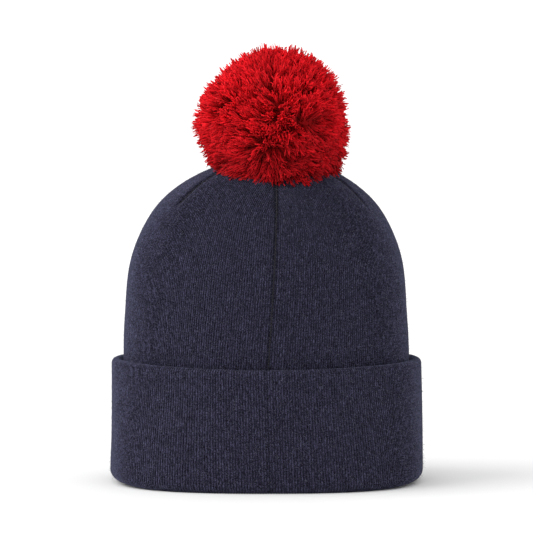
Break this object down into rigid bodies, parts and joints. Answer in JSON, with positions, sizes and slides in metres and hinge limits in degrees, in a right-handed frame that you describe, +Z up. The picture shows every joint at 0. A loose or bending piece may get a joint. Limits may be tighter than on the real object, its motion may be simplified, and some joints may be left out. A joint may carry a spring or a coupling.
{
  "type": "pom-pom beanie",
  "caption": "Cuffed knit beanie with a yarn pom-pom that tips on its tie, lined, with a turned-up cuff, and a backing button and blank labels inside.",
  "frame": {"origin": "centre of the hat's mouth, on the surface that it stands on", "axes": "+Z up, +Y to the wearer's front (the back seam faces -Y), +X to the wearer's right"},
  "size_m": [0.206, 0.1665, 0.2857],
  "materials": {
    "knit": "fine heathered jersey knit, dark blue, soft and matt",
    "seam_thread": "linking thread, matt",
    "tie_cord": "twisted nylon cord, slight sheen",
    "pom_yarn": "cut acrylic yarn, red, soft sheen",
    "button_plastic": "moulded, satin",
    "label_satin": "satin tape, blank"
  },
  "bodies": {
    "hat": {"outer_shell": "knit", "lining": "knit", "cuff_face": "knit", "cuff_back": "knit", "back_seam_thread": "seam_thread", "dart_seam_threads": "seam_thread", "apex_gather_thread": "seam_thread", "tie_tails": "tie_cord", "tie_knot_inner": "tie_cord", "backing_button": "button_plastic", "size_label": "label_satin", "size_label_stitches": "seam_thread", "care_label_tacks": "seam_thread"},
    "tie": {"tie_knot_outer": "tie_cord", "pom_fringe_right": "pom_yarn", "pom_fringe_left": "pom_yarn"},
    "pom": {"tie_neck": "tie_cord", "pom_binding": "tie_cord", "pom_strands": "pom_yarn", "pom_fringe_front": "pom_yarn", "pom_fringe_back": "pom_yarn"},
    "care_tape": {"care_label": "label_satin"}
  },
  "joints": [
    {"name": "pom_sway", "type": "hinge", "parent": "hat", "child": "tie", "pos_m": [0.005, 0, 0.2172], "axis": [0, 1, 0], "range_deg": [-15, 15], "stiffness_Nm_per_rad": 0.05, "deforming": ["pom_fringe_right", "pom_fringe_left", "pom_fringe_front", "pom_fringe_back"]},
    {"name": "pom_nod", "type": "hinge", "parent": "tie", "child": "pom", "pos_m": [0.005, 0, 0.2172], "axis": [1, 0, 0], "range_deg": [-15, 15], "stiffness_Nm_per_rad": 0.05, "deforming": ["pom_fringe_right", "pom_fringe_left", "pom_fringe_front", "pom_fringe_back"]},
    {"name": "care_label_flip", "type": "hinge", "parent": "hat", "child": "care_tape", "pos_m": [0, -0.0708, 0.098], "axis": [0, 0, 1], "range_deg": [0, 160]}
  ]
}
